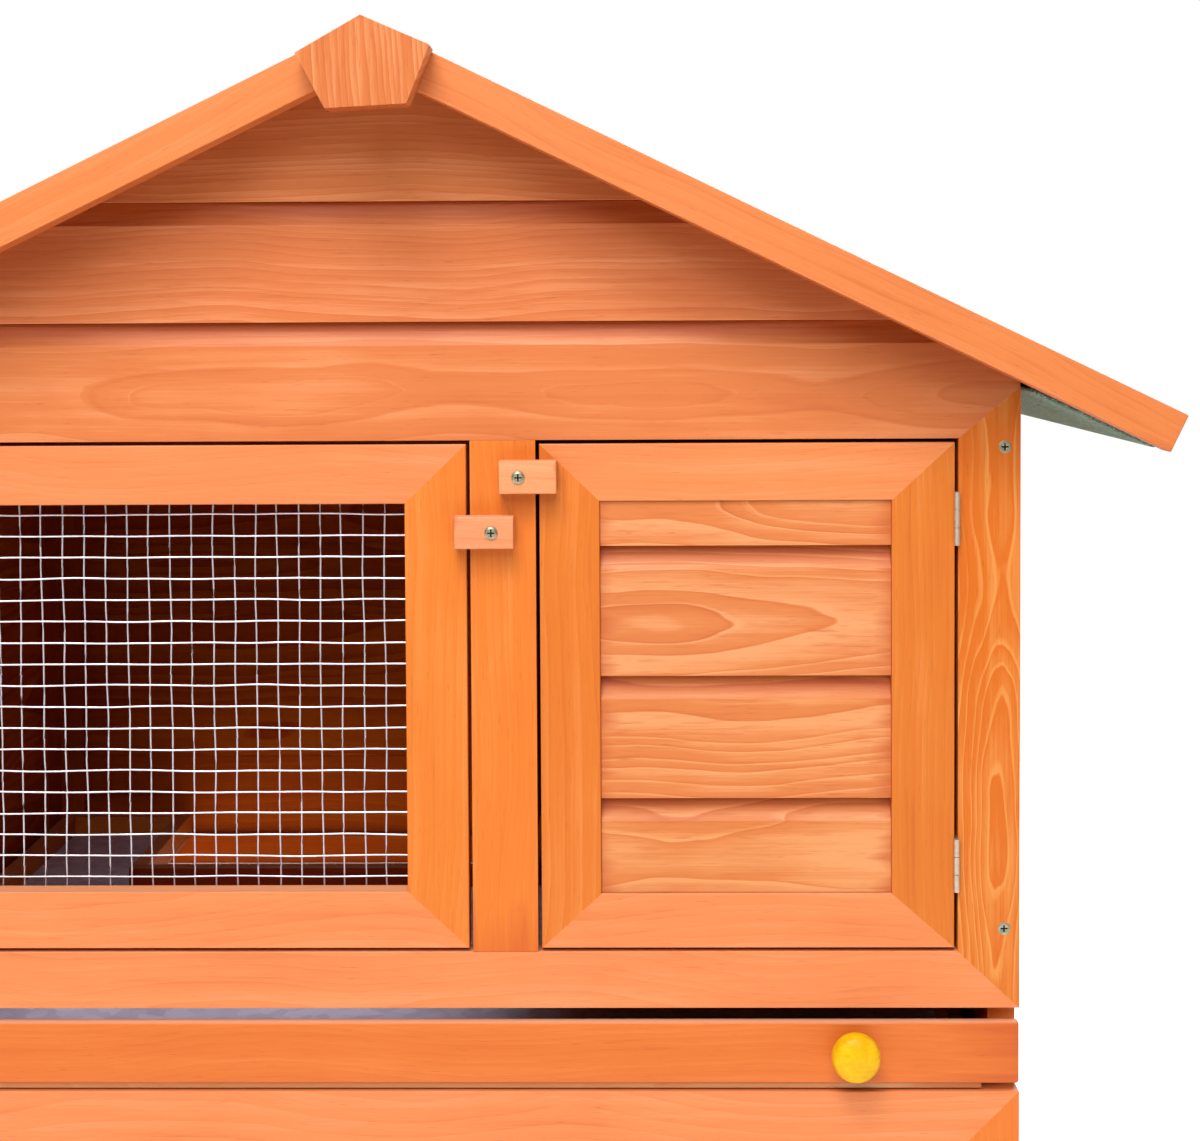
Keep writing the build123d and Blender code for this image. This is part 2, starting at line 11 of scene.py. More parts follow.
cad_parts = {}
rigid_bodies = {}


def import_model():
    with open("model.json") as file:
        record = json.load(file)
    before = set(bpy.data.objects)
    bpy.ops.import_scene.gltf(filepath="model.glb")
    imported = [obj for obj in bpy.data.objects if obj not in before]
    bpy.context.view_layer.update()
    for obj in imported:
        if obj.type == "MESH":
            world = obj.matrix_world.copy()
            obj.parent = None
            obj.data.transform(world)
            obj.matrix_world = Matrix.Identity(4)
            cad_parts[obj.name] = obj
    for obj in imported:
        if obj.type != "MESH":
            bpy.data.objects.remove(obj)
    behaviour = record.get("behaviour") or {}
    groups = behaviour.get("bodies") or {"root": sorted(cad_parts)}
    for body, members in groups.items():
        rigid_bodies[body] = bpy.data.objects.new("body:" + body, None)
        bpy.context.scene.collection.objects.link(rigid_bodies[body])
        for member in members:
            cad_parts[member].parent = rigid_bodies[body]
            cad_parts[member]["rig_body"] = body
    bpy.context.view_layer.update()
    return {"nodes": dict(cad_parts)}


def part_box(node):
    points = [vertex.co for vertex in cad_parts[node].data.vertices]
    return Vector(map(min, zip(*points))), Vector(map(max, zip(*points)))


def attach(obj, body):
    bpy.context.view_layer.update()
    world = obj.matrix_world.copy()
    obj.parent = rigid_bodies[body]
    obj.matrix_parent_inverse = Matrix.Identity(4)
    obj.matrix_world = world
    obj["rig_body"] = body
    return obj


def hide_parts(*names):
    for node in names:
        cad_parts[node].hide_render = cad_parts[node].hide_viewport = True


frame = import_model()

MM = 0.001


def srgb(red, green, blue):
    """A display colour, 0 to 255, as the linear RGBA that shaders use."""
    channels = [c / 255 for c in (red, green, blue)]
    linear = [c / 12.92 if c <= 0.04045 else ((c + 0.055) / 1.055) ** 2.4 for c in channels]
    return (*linear, 1.0)


def part(value):
    """The value, kept between 0 and 1."""
    return min(max(value, 0.0), 1.0)


def around(sides):
    """The angles of evenly spaced points round a circle."""
    return [2 * math.pi * i / sides for i in range(sides)]


FULL_LIGHT = 1.44  # how much brighter the front is lit than its own colours
GLOSS = 0.022  # what the satin surface adds to every channel
DARKEST = 0.004  # no surface colour is darker than this


def albedo(shown, shade=(1, 1, 1)):
    """The surface colour that shows as this one in full light."""
    return [max(c * k - GLOSS, DARKEST) / FULL_LIGHT for c, k in zip(shown, shade)] + [1]


# ---- node trees ------------------------------------------------------------------------------
class Shader:
    """A material's node tree. Each call adds one node and returns its output socket."""

    def __init__(self, name, **settings):
        self.material = bpy.data.materials.new(name)
        self.material.use_nodes = True
        self.nodes = self.material.node_tree.nodes
        self.links = self.material.node_tree.links
        self.nodes.clear()
        self.surface = self.nodes.new("ShaderNodeBsdfPrincipled")
        output = self.nodes.new("ShaderNodeOutputMaterial")
        self.links.new(self.surface.outputs[0], output.inputs["Surface"])
        for socket, value in settings.items():
            self.feed(self.surface.inputs[socket.replace("_", " ")], value)

    def feed(self, socket, value):
        if isinstance(value, bpy.types.NodeSocket):
            self.links.new(value, socket)
        else:
            socket.default_value = value

    def add(self, kind, output, inputs, **settings):
        node = self.nodes.new(kind)
        for name, value in settings.items():
            setattr(node, name, value)
        for name, value in inputs.items():
            self.feed(node.inputs[name], value)
        return node.outputs[output]

    def attribute(self, name, output="Fac"):
        return self.add("ShaderNodeAttribute", output, {}, attribute_name=name)

    def math(self, operation, a, b=0.0, c=0.0):
        return self.add("ShaderNodeMath", 0, {0: a, 1: b, 2: c}, operation=operation)

    def vector(self, operation, a, b=(0, 0, 0)):
        return self.add("ShaderNodeVectorMath", 0, {0: a, 1: b}, operation=operation)

    def join(self, x, y, z):
        return self.add("ShaderNodeCombineXYZ", 0, {0: x, 1: y, 2: z})

    def noise(self, vector, scale, detail=2.0, roughness=0.5, output="Fac"):
        inputs = {"Vector": vector, "Scale": scale, "Detail": detail, "Roughness": roughness}
        return self.add("ShaderNodeTexNoise", output, inputs)

    def cells(self, vector, scale, output="Distance"):
        return self.add("ShaderNodeTexVoronoi", output, {"Vector": vector, "Scale": scale})

    def ramp(self, factor, *stops):
        """Grey or coloured stops as (position, value)."""
        node = self.nodes.new("ShaderNodeValToRGB")
        ramp = node.color_ramp
        while len(ramp.elements) < len(stops):
            ramp.elements.new(0.5)
        for element, (position, value) in zip(ramp.elements, stops):
            element.position = position
            element.color = value if isinstance(value, tuple) else (value, value, value, 1)
        self.feed(node.inputs[0], factor)
        return node.outputs[0]

    def span(self, value, low, high, to_low=0.0, to_high=1.0):
        inputs = {"Value": value, "From Min": low, "From Max": high, "To Min": to_low, "To Max": to_high}
        return self.add("ShaderNodeMapRange", 0, inputs, clamp=True)

    def mix(self, factor, a, b, blend="MIX"):
        node = self.nodes.new("ShaderNodeMix")
        node.data_type = "RGBA"
        node.blend_type = blend
        self.feed(node.inputs[0], factor)
        self.feed(node.inputs[6], a)
        self.feed(node.inputs[7], b)
        return node.outputs[2]

    def colour(self, value):
        self.feed(self.surface.inputs["Base Color"], value)

    def bump(self, height, distance, strength):
        inputs = {"Height": height, "Distance": distance, "Strength": strength}
        normal = self.add("ShaderNodeBump", "Normal", inputs)
        self.feed(self.surface.inputs["Normal"], normal)


def pine(name, shine, rough):
    """Stained pine, drawn in three dimensions in each board's own grain coordinates, in metres."""
    s = Shader(name, Specular_IOR_Level=shine)
    grain = s.attribute("grain", "Vector")
    tint = s.attribute("tint", "Color")
    pale = s.attribute("pale", "Color")
    figure = s.attribute("figure")
    spacing = s.attribute("ring")
    rim = s.attribute("rim")
    reach = s.attribute("reach")
    sway = s.attribute("sway")
    split = s.nodes.new("ShaderNodeSeparateXYZ")
    s.feed(split.inputs[0], grain)
    along, across, deep = split.outputs

    def stretched(lengthwise, crosswise, detail, roughness=0.5):
        """Noise drawn out along the grain. Both scales are per metre."""
        place = s.vector("MULTIPLY", grain, (lengthwise, crosswise, crosswise))
        return s.noise(place, 1.0, detail, roughness)

    def stained(red, green, blue):
        """The main colour with more stain in it."""
        return s.mix(1.0, tint, (red, green, blue, 1), "MULTIPLY")

    # Distance from a pith that wanders along the log, in uneven rings.
    drift = s.noise(s.join(s.math("MULTIPLY", along, 5.2), 0.0, 3.7), 1.0, 1.5, 0.4, "Color")
    wander = s.add("ShaderNodeSeparateColor", 0, {0: drift}).node
    side = s.math("MULTIPLY_ADD", s.math("SUBTRACT", wander.outputs[0], 0.5), sway, across)
    depth = s.math("MULTIPLY_ADD", s.math("SUBTRACT", wander.outputs[1], 0.5), 0.05, deep)
    ripple = stretched(11.0, 55.0, 2.5)
    length = s.vector("LENGTH", s.join(side, depth, 0.0)).node.outputs["Value"]
    radius = s.math("MULTIPLY_ADD", s.math("SUBTRACT", ripple, 0.5), 0.005, length)
    uneven = s.noise(s.join(s.math("MULTIPLY", radius, 70.0), 0.0, 0.0), 1.0, 2.0)
    phase = s.math("MULTIPLY_ADD", uneven, 3.0, s.math("DIVIDE", radius, spacing))
    late = s.ramp(s.math("FRACT", phase), (0.0, 0.0), (0.4, 0.06), (0.78, 0.5), (0.92, 1.0), (1.0, 0.0))
    year = s.add("ShaderNodeTexWhiteNoise", "Value", {"W": s.math("FLOOR", phase)}, noise_dimensions="1D")

    # Fibres, streaks along the grain, cloudy stain, and short dark resin ducts.
    fibre = stretched(16.0, 1200.0, 3.0, 0.6)
    streak = stretched(3.0, 120.0, 3.0, 0.55)
    cloud = stretched(10.0, 30.0, 3.0, 0.55)
    duct = stretched(80.0, 1300.0, 1.0)

    ringed = s.math("MULTIPLY", s.math("SUBTRACT", s.math("MULTIPLY", year, 0.8), late), figure)
    edge = s.ramp(s.math("FRACT", phase), (0.0, 1.0), (0.10, 0.75), (0.22, 0.0), (0.93, 0.0), (1.0, 1.0))
    ringed = s.math("MULTIPLY_ADD", edge, rim, ringed)
    light = s.math("ADD", ringed, s.span(streak, 0.25, 0.75, 0.05, 0.75))
    light = s.math("ADD", light, s.span(cloud, 0.3, 0.7, -0.22, 0.22))
    light = s.math("ADD", light, s.span(fibre, 0.3, 0.7, -0.13, 0.13))
    base = s.mix(s.span(light, 0.45, 1.05), tint, pale)
    base = s.mix(s.span(light, 0.30, -0.45), base, stained(0.84, 0.68, 0.55))
    # End grain drinks more stain, in streaks.
    soaked = s.math("MULTIPLY_ADD", s.math("SUBTRACT", streak, 0.5), 0.5, s.math("ABSOLUTE", reach))
    base = s.mix(s.span(soaked, 0.90, 1.04, 0.0, 0.75), base, stained(0.80, 0.55, 0.45))
    # Resin flecks, which come in patches and mostly on the boards with a strong figure.
    fleck = stretched(42.0, 520.0, 2.0, 0.6)
    patch = stretched(14.0, 40.0, 2.0)
    flecked = s.math("MULTIPLY", s.span(fleck, 0.54, 0.70, 0.0, 0.5), s.span(patch, 0.42, 0.62, 0.15, 1.0))
    flecked = s.math("MULTIPLY", flecked, s.span(figure, 0.28, 0.7, 0.3, 1.0))
    base = s.mix(flecked, base, stained(0.80, 0.58, 0.46))
    s.colour(s.mix(s.span(duct, 0.69, 0.78, 0.0, 0.35), base, stained(0.5, 0.3, 0.2)))
    s.feed(s.surface.inputs["Roughness"], s.span(fibre, 0.3, 0.7, rough + 0.06, rough - 0.06))
    s.bump(s.math("MULTIPLY_ADD", late, s.math("MULTIPLY", figure, 0.7), fibre), 0.00016, 0.5)
    return s.material


def metal(name, colour, roughness, mottle, scale):
    """Dull plated metal with a cloudy surface."""
    s = Shader(name, Metallic=0.85)
    place = s.add("ShaderNodeTexCoord", "Object", {})
    cloud = s.noise(place, scale, 4.0, 0.6)
    dark = tuple(c * mottle for c in colour[:3]) + (1,)
    s.colour(s.mix(s.span(cloud, 0.35, 0.65), colour, dark))
    s.feed(s.surface.inputs["Roughness"], s.span(cloud, 0.3, 0.7, roughness - 0.08, roughness + 0.1))
    s.bump(s.noise(place, scale * 3, 3.0), 0.00005, 0.5)
    return s.material


def spangle():
    """Galvanised sheet: flat zinc crystals of differing grey."""
    s = Shader("galvanised_sheet", Metallic=0.1)
    place = s.add("ShaderNodeTexCoord", "Object", {})
    crystal = s.cells(place, 90.0, "Color")
    value = s.add("ShaderNodeSeparateColor", 0, {0: crystal})
    s.colour(s.mix(value, srgb(198, 193, 220), srgb(226, 221, 243)))
    s.feed(s.surface.inputs["Roughness"], s.span(value, 0.0, 1.0, 0.38, 0.5))
    return s.material


def knob_paint():
    """Yellow gloss brushed on by hand, thin over the turned wood in places."""
    s = Shader("knob_paint", Roughness=0.36, Specular_IOR_Level=0.16)
    place = s.add("ShaderNodeTexCoord", "Object", {})
    cloud = s.noise(place, 160.0, 4.0, 0.65)
    stroke = s.noise(s.vector("MULTIPLY", place, (120.0, 120.0, 420.0)), 1.0, 3.0, 0.6)
    base = s.mix(s.span(cloud, 0.40, 0.66), albedo(srgb(252, 190, 10)), albedo(srgb(255, 212, 20)))
    s.colour(s.mix(s.span(stroke, 0.52, 0.75, 0.0, 0.6), base, albedo(srgb(240, 160, 12))))
    s.bump(stroke, 0.0003, 0.4)
    return s.material


def mineral_felt():
    """Bitumen felt with green mineral chips."""
    s = Shader("mineral_felt", Roughness=0.9)
    place = s.add("ShaderNodeTexCoord", "Object", {})
    chip = s.add("ShaderNodeSeparateColor", 0, {0: s.cells(place, 900.0, "Color")})
    colour = s.ramp(
        chip,
        (0.0, srgb(58, 78, 66)),
        (0.35, srgb(82, 110, 92)),
        (0.7, srgb(104, 134, 113)),
        (0.95, srgb(150, 168, 150)),
    )
    wear = s.noise(place, 9.0, 4.0, 0.6)
    s.colour(s.mix(s.span(wear, 0.45, 0.75, 0.0, 0.35), colour, srgb(96, 112, 100)))
    s.bump(s.cells(place, 900.0), 0.0009, 0.8)
    return s.material


def plain_floor():
    """Pale and a little luminous, so that it runs into the white background."""
    s = Shader("studio_floor", Roughness=0.8, Emission_Strength=0.5)
    s.colour((0.88, 0.88, 0.88, 1))
    s.feed(s.surface.inputs["Emission Color"], (1, 1, 1, 1))
    return s.material


PINE = pine("stained_pine", 0.32, 0.5)
MATT_PINE = pine("matt_pine", 0.08, 0.8)  # inside, where nothing was polished
WIRE = metal("galvanised_wire", srgb(226, 222, 230), 0.42, 0.86, 240.0)
ZINC = metal("zinc_hinge", srgb(214, 196, 176), 0.46, 0.8, 300.0)
SCREW = metal("zinc_screw", srgb(170, 166, 140), 0.42, 0.7, 500.0)
# a darker colour for the recesses of the screw heads
RECESS_DARK = metal("screw_recess", srgb(58, 50, 38), 0.7, 0.6, 700.0)
SPANGLE = spangle()
KNOB = knob_paint()
FELT = mineral_felt()

# Stains as they show in full light: the main colour, and the paler early wood.
STAINS = {
    "amber": (srgb(244, 134, 56), srgb(252, 149, 75)),
    "door": (srgb(233, 128, 54), srgb(244, 147, 78)),
    "post": (srgb(229, 120, 40), srgb(243, 158, 82)),
    "salmon": (srgb(249, 147, 90), srgb(254, 161, 108)),
    "slat": (srgb(232, 137, 80), srgb(249, 168, 112)),
    "gable": (srgb(230, 134, 77), srgb(246, 158, 102)),
    "tray": (srgb(237, 127, 60), srgb(245, 139, 74)),
    "trim": (srgb(239, 140, 82), srgb(246, 152, 98)),
    "cap": (srgb(226, 126, 70), srgb(246, 160, 108)),
    "button": (srgb(251, 166, 116), srgb(255, 180, 134)),
    # painted shade: the dim, reddened light within the hutch and under the roof, as a darker, redder stain
    "inside": (srgb(212, 98, 36), srgb(228, 116, 46)),
    # painted shade: the shadowed front of the tray curb, as a very dark stain
    "soaked": (srgb(150, 62, 30), srgb(170, 78, 38)),
    "ply": (srgb(236, 162, 104), srgb(246, 186, 134)),
}


# ---- pieces from the frame ---------------------------------------------------------------------
SAME_PLACE = 2e-6  # vertices closer than this are one
SAME_PLANE = math.radians(0.5)
SHARP = math.radians(30)


def clean_mesh(node):
    """A bmesh of a CAD node with its triangles joined back into flat faces."""
    mesh = bmesh.new()
    mesh.from_mesh(frame["nodes"][node].data)
    bmesh.ops.remove_doubles(mesh, verts=mesh.verts, dist=SAME_PLACE)
    bmesh.ops.dissolve_limit(mesh, angle_limit=SAME_PLANE, verts=mesh.verts, edges=mesh.edges)
    return mesh


def ease(mesh, width, mitred):
    """Rounds the arrises of a board. A mitred board stays sharp where it meets its neighbour."""

    def mitre(face):
        """Whether it is upright and slants across both x and z."""
        normal = face.normal
        return mitred and abs(normal.y) < 0.1 and min(abs(normal.x), abs(normal.z)) > 0.2

    edges = []
    for edge in mesh.edges:
        if not edge.is_manifold or edge.calc_face_angle(0) < SHARP:
            continue
        if not any(mitre(face) for face in edge.link_faces):
            edges.append(edge)
    bmesh.ops.bevel(
        mesh, geom=edges, offset=width, segments=3, profile=0.5, affect="EDGES", clamp_overlap=True
    )


def islands(mesh):
    """The separate solids of a mesh, as lists of vertices, in a stable order."""
    left = set(mesh.verts)
    found = []
    for seed in mesh.verts:
        if seed not in left:
            continue
        group, queue = [], [seed]
        left.discard(seed)
        while queue:
            vertex = queue.pop()
            group.append(vertex)
            for edge in vertex.link_edges:
                other = edge.other_vert(vertex)
                if other in left:
                    left.discard(other)
                    queue.append(other)
        found.append(group)
    return found


def board_axes(group, grain):
    """(along, across, through) for one board: its grain runs along its longest edge unless given."""
    edges = {e for v in group for e in v.link_edges}
    longest = max(edges, key=lambda e: round(e.calc_length(), 5))
    along = Vector(grain) if grain else (longest.verts[1].co - longest.verts[0].co)
    along.normalize()
    if along[max(range(3), key=lambda i: abs(along[i]))] < 0:
        along.negate()
    faces = {f for v in group for f in v.link_faces}
    flats = [f for f in faces if abs(f.normal.dot(along)) < 0.2]
    broad = max(flats, key=lambda f: round(f.calc_area(), 8))
    through = (broad.normal - along * broad.normal.dot(along)).normalized()
    if through[max(range(3), key=lambda i: abs(through[i]))] < 0:
        through.negate()
    return along, through.cross(along), through


def publish(mesh, name, material, smooth=35):
    """Turns a bmesh into an object with smooth shading under that angle."""
    data = bpy.data.meshes.new(name)
    mesh.to_mesh(data)
    mesh.free()
    data.shade_smooth()
    data.set_sharp_from_angle(angle=math.radians(smooth))
    data.materials.append(material)
    made = bpy.data.objects.new(name, data)
    bpy.context.scene.collection.objects.link(made)
    return made


def body_of(node):
    return frame["nodes"][node]["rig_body"]


def stand_in(made, node):
    """The piece takes the CAD node's place on its body."""
    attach(made, body_of(node))
    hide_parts(node)


def faces_in(normal, place):
    """Whether a surface looks into the hutch."""
    return normal.dot(Vector((place.x, place.y, 0))) < -0.1 * MM


# The axis that a shiplap board faces along, and whether it faces its positive or negative end.
SHIPLAP = {
    "gable_board_low": (1, -1),
    "gable_board_middle": (1, -1),
    "solid_door_slats": (1, -1),
    "back_boards": (1, 1),
    "left_side_boards": (0, -1),
    "right_side_boards": (0, 1),
}
COVE_HEIGHT = 14 * MM
COVE_DEPTH = 4.8 * MM
# In parts of the cove's depth: where the painted shade starts, how fast it grows, and where the board's back
# is.
COVE_SHADE_START = 0.30
COVE_FADE = 0.55
COVE_BEHIND = 1.3
PAINTED_SHADE_LOSS = (0.34, 0.60, 0.85)  # painted shade: the part of each channel that is lost in the coves, on undersides and under the eaves
UNDERSIDE_SHADE = 0.7  # painted shade on surfaces that face down: how much of the shade loss they get
# How squarely a surface looks down or up before it counts, and over what stretch it comes to count in full.
UNDERSIDE_SHADE_FROM, UNDERSIDE_SHADE_OVER = 0.65, 0.25
TOP_HIGHLIGHT_FROM, TOP_HIGHLIGHT_OVER = 0.75, 0.2
TOP_HIGHLIGHT = srgb(255, 192, 152)  # painted highlight: surfaces that face up are made paler, as if lit from above
EAVES_SHADE = 0.48  # painted shade of the roof overhang: how much darker the gable is close under the bargeboards
EAVES_REACH = 55 * MM


def cove_shading(group, node):
    """Painted shade at a point of a shiplap board: darkest at the back of its cove, under the board above."""
    axis, sign = SHIPLAP.get(node, (1, 0))
    face = max(v.co[axis] * sign for v in group)
    top = max(v.co.z for v in group) - COVE_HEIGHT

    def painted_shade(point):
        depth = (face - point[axis] * sign) / COVE_DEPTH
        if sign == 0 or point.z < top or depth > COVE_BEHIND:
            return 0.0
        return part((depth - COVE_SHADE_START) / COVE_FADE)

    return painted_shade


GABLE = ("gable_board_low", "gable_board_middle", "gable_board_top")
SHADING_STEP = 16 * MM  # between the gable's vertices, which carry the shade of the eaves


def roof_line():
    """The slope of the bargeboards, and how high their under edge would meet the middle."""
    board = frame["nodes"]["bargeboards_front"].data
    points = [(abs(v.co.x), v.co.z) for v in board.vertices]
    edges = [(points[e.vertices[0]], points[e.vertices[1]]) for e in board.edges]
    start, end = max(edges, key=lambda e: abs(e[0][0] - e[1][0]))
    slope = abs((end[1] - start[1]) / (end[0] - start[0]))
    return slope, min(z + slope * x for x, z in points)


ROOF_SLOPE, ROOF_FOOT = roof_line()


def sheltered(point):
    """Share of the painted eaves shade: 1 close under the bargeboards, falling to 0 further down the gable.
    """
    below = ROOF_FOOT - ROOF_SLOPE * abs(point.x) - point.z
    return part(1 - below / EAVES_REACH) ** 2


LATTICE_SHIFT = 0.013 * MM  # keeps the cuts off the vertices


def lattice(mesh, step):
    """Cuts a mesh across x and z, so that its vertices can carry shading."""
    for axis, normal in ((0, (1, 0, 0)), (2, (0, 0, 1))):
        low = min(v.co[axis] for v in mesh.verts)
        high = max(v.co[axis] for v in mesh.verts)
        for i in range(1, round((high - low) / step)):
            cut = [0, 0, 0]
            cut[axis] = low + i * step + LATTICE_SHIFT
            everything = list(mesh.verts) + list(mesh.edges) + list(mesh.faces)
            bmesh.ops.bisect_plane(mesh, geom=everything, dist=1e-6, plane_co=cut, plane_no=normal)


# Pieces whose inner side gets the darker, redder interior colours: painted shade of the dim hutch.
SHADED_LINING = (
    "left_side_frame",
    "right_side_frame",
    "left_side_boards",
    "right_side_boards",
    "back_frame",
    "back_boards",
)


def timber(
    node,
    stain,
    figure=0.3,
    ring=4.0,
    rim=0.1,
    arris=0.8,
    sawn="quarter",
    heart=None,
    grain=None,
    mitred=False,
    askew=0.0,
    sway=0.03,
    slide=0.0,
    highlight=0.45,
):
    """A wooden piece made from a CAD node: eased arrises, and grain coordinates for each board.

    The arris, the ring spacing and the heart's depth are in millimetres, and the heart's place across the
    board is in half widths. The slide moves the figure along the board, in metres. A piece askew is turned
    by that many degrees at the front only.
    """
    mesh = clean_mesh(node)
    if askew:
        # Nailed on a little crooked, turned about its top.
        front = [v for v in mesh.verts if v.co.y < 0]
        pivot = max(front, key=lambda v: v.co.z).co.copy()
        turn = Matrix.Rotation(math.radians(askew), 3, "Y")
        bmesh.ops.rotate(mesh, cent=pivot, matrix=turn, verts=front)
    ease(mesh, arris * MM, mitred)
    boards = []
    for group in islands(mesh):
        axes = board_axes(group, grain)
        centre = sum((v.co for v in group), Vector()) / len(group)
        length, width = (max(abs((v.co - centre).dot(axis)) for v in group) for axis in axes[:2])
        boards.append((axes, centre, length, width))
    if node in GABLE:
        lattice(mesh, SHADING_STEP)
    mesh.normal_update()
    grain_layer = mesh.verts.layers.float_vector.new("grain")
    tint_layer = mesh.verts.layers.float_color.new("tint")
    pale_layer = mesh.verts.layers.float_color.new("pale")
    reach_layer = mesh.verts.layers.float.new("reach")
    shared = {"figure": figure, "ring": ring * MM, "rim": rim, "sway": sway}
    shared_layers = [(mesh.verts.layers.float.new(name), value) for name, value in shared.items()]
    highlight_colour = albedo(TOP_HIGHLIGHT)
    chance = random.Random(node)
    for group, ((along, across, through), centre, length, width) in zip(islands(mesh), boards):
        flip = chance.choice((-1, 1))
        if sawn == "quarter":
            pith = Vector((0, flip * (width + chance.uniform(0.03, 0.09)), chance.uniform(0.01, 0.05)))
        else:
            pith = Vector((0, chance.uniform(-0.6, 0.6) * width, flip * chance.uniform(0.018, 0.034)))
        if heart:
            pith = Vector((0, heart[0] * width, heart[1] * MM))
        tilt = chance.uniform(-0.02, 0.02)
        start = chance.uniform(0, 40) - slide
        shade = [1 + 0.04 * k * chance.uniform(-1, 1) for k in (0.5, 1.0, 1.4)]
        colours = [albedo(colour, shade) for colour in STAINS[stain]]
        inside_shade = [albedo(colour, shade) for colour in STAINS["inside"]]
        cove_shade = cove_shading(group, node)
        for vertex in group:
            offset = vertex.co - centre
            u = offset.dot(along)
            place = Vector((u + start, offset.dot(across), offset.dot(through) + tilt * u))
            vertex[grain_layer] = place - pith
            # Painted light and shade: inner faces get the darker interior colours; coves, undersides and the
            # gable under the eaves are painted darker; surfaces that face up are painted paler.
            inner = node in SHADED_LINING and faces_in(vertex.normal, vertex.co)
            underside_shade = UNDERSIDE_SHADE * part((-vertex.normal.z - UNDERSIDE_SHADE_FROM) / UNDERSIDE_SHADE_OVER)
            painted_shade = max(cove_shade(vertex.co), underside_shade)
            if node in GABLE:
                painted_shade = max(painted_shade, EAVES_SHADE * sheltered(vertex.co))
            lit_top = highlight * part((vertex.normal.z - TOP_HIGHLIGHT_FROM) / TOP_HIGHLIGHT_OVER)
            for layer, colour in zip((tint_layer, pale_layer), inside_shade if inner else colours):
                darker = [c * (1 - painted_shade * lost) for c, lost in zip(colour, PAINTED_SHADE_LOSS)]
                vertex[layer] = [c + (w - c) * lit_top for c, w in zip(darker, highlight_colour)] + [1]
            for layer, value in shared_layers:
                vertex[layer] = value
            vertex[reach_layer] = 0.0 if mitred else u / length
    made = publish(mesh, f"{node}_wood", MATT_PINE if stain in ("inside", "soaked") else PINE, 26)
    if node in SHADED_LINING:
        made.data.materials.append(MATT_PINE)
        for face in made.data.polygons:
            face.material_index = int(faces_in(face.normal, face.center))
    even = made.modifiers.new("flat_faces", "WEIGHTED_NORMAL")
    even.keep_sharp = True
    stand_in(made, node)


FLAT = {"sawn": "flat", "figure": 0.9, "ring": 8.0, "rim": 0.35}
TIMBER = {
    "front_posts": dict(
        stain="post", figure=0.32, ring=2.9, rim=0.42, heart=(-0.06, 11), sway=0.012, slide=0.115, mitred=True
    ),
    "front_centre_post": dict(stain="amber"),
    "front_bottom_rail": dict(stain="salmon", mitred=True),
    "gable_board_low": dict(stain="gable", sawn="flat", figure=0.4, ring=7.0, arris=0.4, mitred=True),
    "gable_board_middle": dict(stain="gable", figure=0.5, arris=0.4),
    "gable_board_top": dict(stain="gable", figure=0.5, arris=0.4),
    "lower_front_posts": dict(stain="amber", mitred=True),
    "lower_front_rails": dict(stain="salmon", mitred=True),
    "lower_front_mullion": dict(stain="amber"),
    "left_side_frame": dict(stain="amber"),
    "right_side_frame": dict(stain="amber"),
    "left_side_boards": dict(stain="slat", arris=0.4, **FLAT),
    "right_side_boards": dict(stain="slat", arris=0.4, **FLAT),
    "back_frame": dict(stain="amber"),
    "back_boards": dict(stain="slat", arris=0.4, **FLAT),
    # These pieces and the roof's underside get the painted shade of the interior as their stain.
    "nest_partition": dict(stain="inside", **FLAT),
    "tray_bearers": dict(stain="inside"),
    "ramp_board": dict(stain="slat", **FLAT),
    "ramp_cleats": dict(stain="amber"),
    "ridge_beam": dict(stain="inside"),
    "roof_deck_left": dict(stain="inside", **FLAT),
    "roof_deck_right": dict(stain="inside", **FLAT),
    "bargeboards_front": dict(stain="trim"),
    "bargeboards_back": dict(stain="trim"),
    "ridge_caps": dict(stain="cap", figure=0.7, ring=3.4, arris=0.5, grain=(0, 0, 1), askew=-3.0),
    "mesh_door_stiles": dict(stain="amber", mitred=True),
    "mesh_door_rails": dict(stain="salmon", mitred=True),
    "solid_door_stiles": dict(stain="door", mitred=True),
    "solid_door_rails": dict(stain="salmon", mitred=True),
    "solid_door_slats": dict(stain="slat", sawn="flat", figure=0.7, ring=6.0, rim=0.35, arris=0.4),
    "run_door_stiles": dict(stain="door", mitred=True),
    "run_door_rails": dict(stain="salmon", mitred=True),
    "turn_button_nest": dict(stain="button", arris=0.4),
    "turn_button_day": dict(stain="button", arris=0.4),
    "turn_button_run": dict(stain="button", arris=0.4),
    # The tray front gets a stronger painted highlight along its upper edge.
    "tray_front": dict(stain="tray", arris=1.8, highlight=0.95),
    "tray_base": dict(stain="ply", sawn="flat", arris=0.3),
    "tray_walls": dict(stain="amber"),
    # The curb's dark colour is painted shade.
    "tray_curb": dict(stain="soaked"),
}
for wooden, look in TIMBER.items():
    timber(wooden, **look)


# ---- wire mesh ---------------------------------------------------------------------------------
def tube(mesh, points, radius, sides=8):
    """Adds a round wire along the points."""
    spokes = [Vector((math.cos(a), math.sin(a), 0)) for a in around(sides)]
    rings = []
    for index, point in enumerate(points):
        ahead = points[min(index + 1, len(points) - 1)] - points[max(index - 1, 0)]
        turn = ahead.to_track_quat("Z", "Y").to_matrix()
        rings.append([mesh.verts.new(point + turn @ spoke * radius) for spoke in spokes])
    for ring, following in zip(rings, rings[1:]):
        for i in range(sides):
            j = (i + 1) % sides
            mesh.faces.new((ring[i], ring[j], following[j], following[i]))
    mesh.faces.new(list(reversed(rings[0])))
    mesh.faces.new(rings[-1])


WIRE_PART = 0.46  # a wire's radius as a part of the CAD grid's thickness
WELD = 0.85  # how far each layer's middle lies from the joint, in radii, so that the wires sink together
LAYERS = 1.85  # how deep the joint lies behind the outer face, in radii
WAVES = 28  # how quickly a wire's waviness changes along it, per metre
MOST_BOW = 0.3  # the most that a wire bows in or out, in radii


